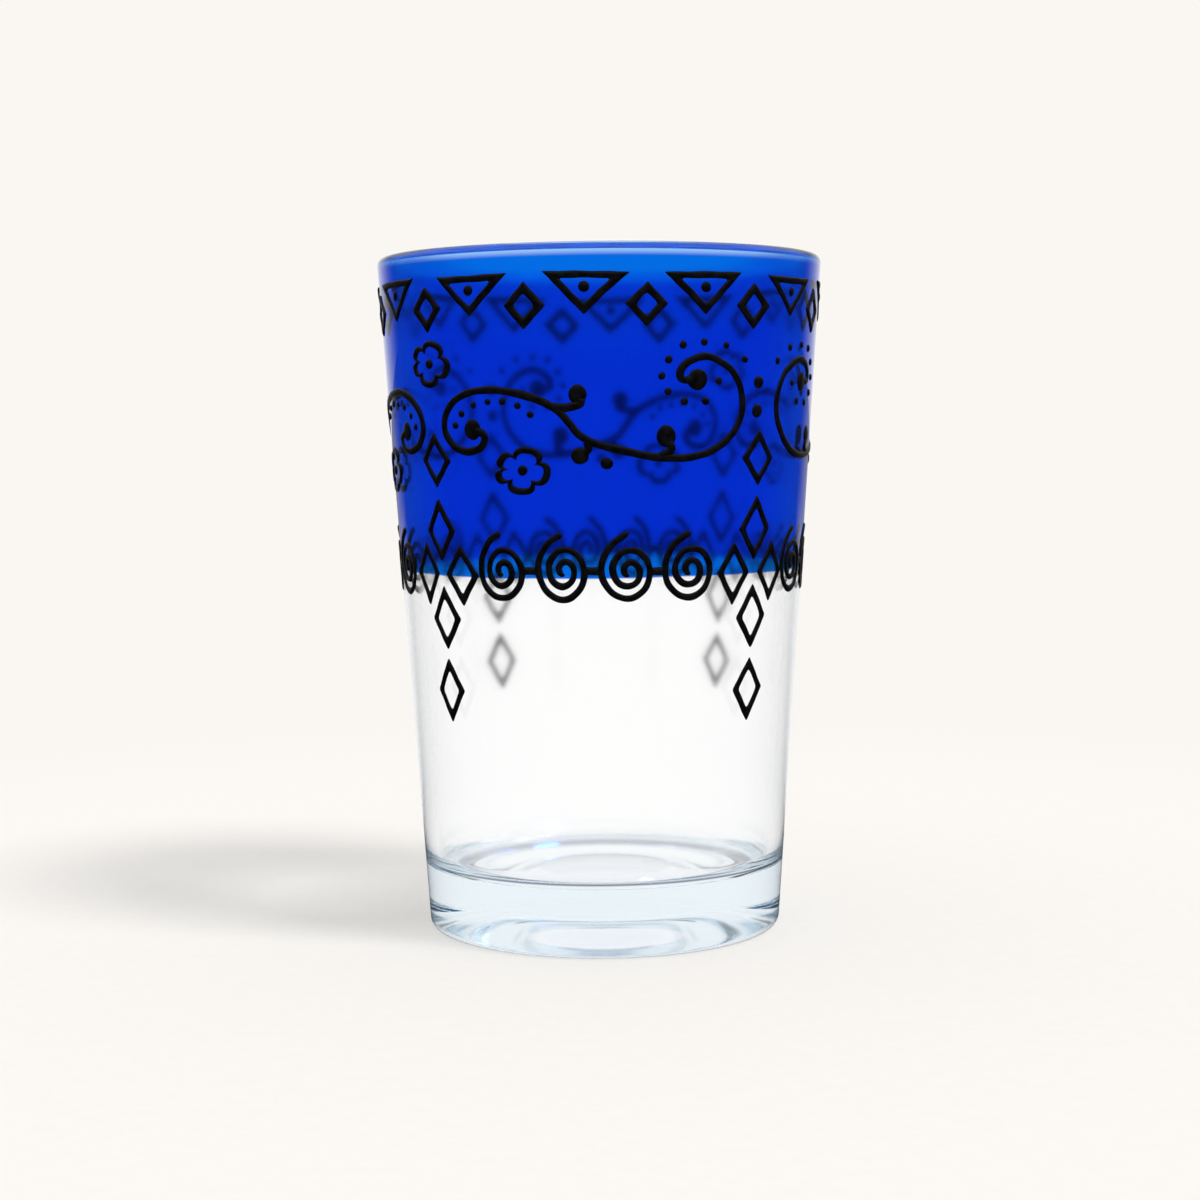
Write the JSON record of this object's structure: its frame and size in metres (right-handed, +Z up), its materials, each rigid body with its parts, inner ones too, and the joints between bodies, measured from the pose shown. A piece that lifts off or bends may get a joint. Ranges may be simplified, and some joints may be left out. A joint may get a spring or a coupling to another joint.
{
  "type": "tea glass",
  "caption": "Tapered handleless tea glass with a thick clear base, a cobalt blue upper wall and raised dark enamel ornament of triangles, diamonds, scrolls, flowers and spirals.",
  "frame": {"origin": "centre of the foot, on the plane that the glass stands on", "axes": "+Z up along the glass's axis to the rim; -Y is the side that the picture shows"},
  "size_m": [0.0664, 0.0664, 0.1],
  "materials": {
    "glass": "clear and glossy, stained cobalt blue on the outside of the upper wall",
    "enamel": "opaque fired-on enamel, which is a pigmented glass, near black and satin"
  },
  "bodies": {
    "root": {"column_berries": "enamel", "column_diamonds_1": "enamel", "column_diamonds_2": "enamel", "column_diamonds_3": "enamel", "column_diamonds_4": "enamel", "column_diamonds_5": "enamel", "glass_body": "glass", "low_flower_eyes": "enamel", "low_flower_petals": "enamel", "rim_diamonds": "enamel", "rim_triangle_eyes": "enamel", "rim_triangles": "enamel", "scroll_curl_dots": "enamel", "scroll_halo_dots": "enamel", "scroll_stem_dots": "enamel", "scroll_vines": "enamel", "spiral_links": "enamel", "spirals": "enamel", "top_flower_eyes": "enamel", "top_flower_petals": "enamel"}
  },
  "joints": []
}
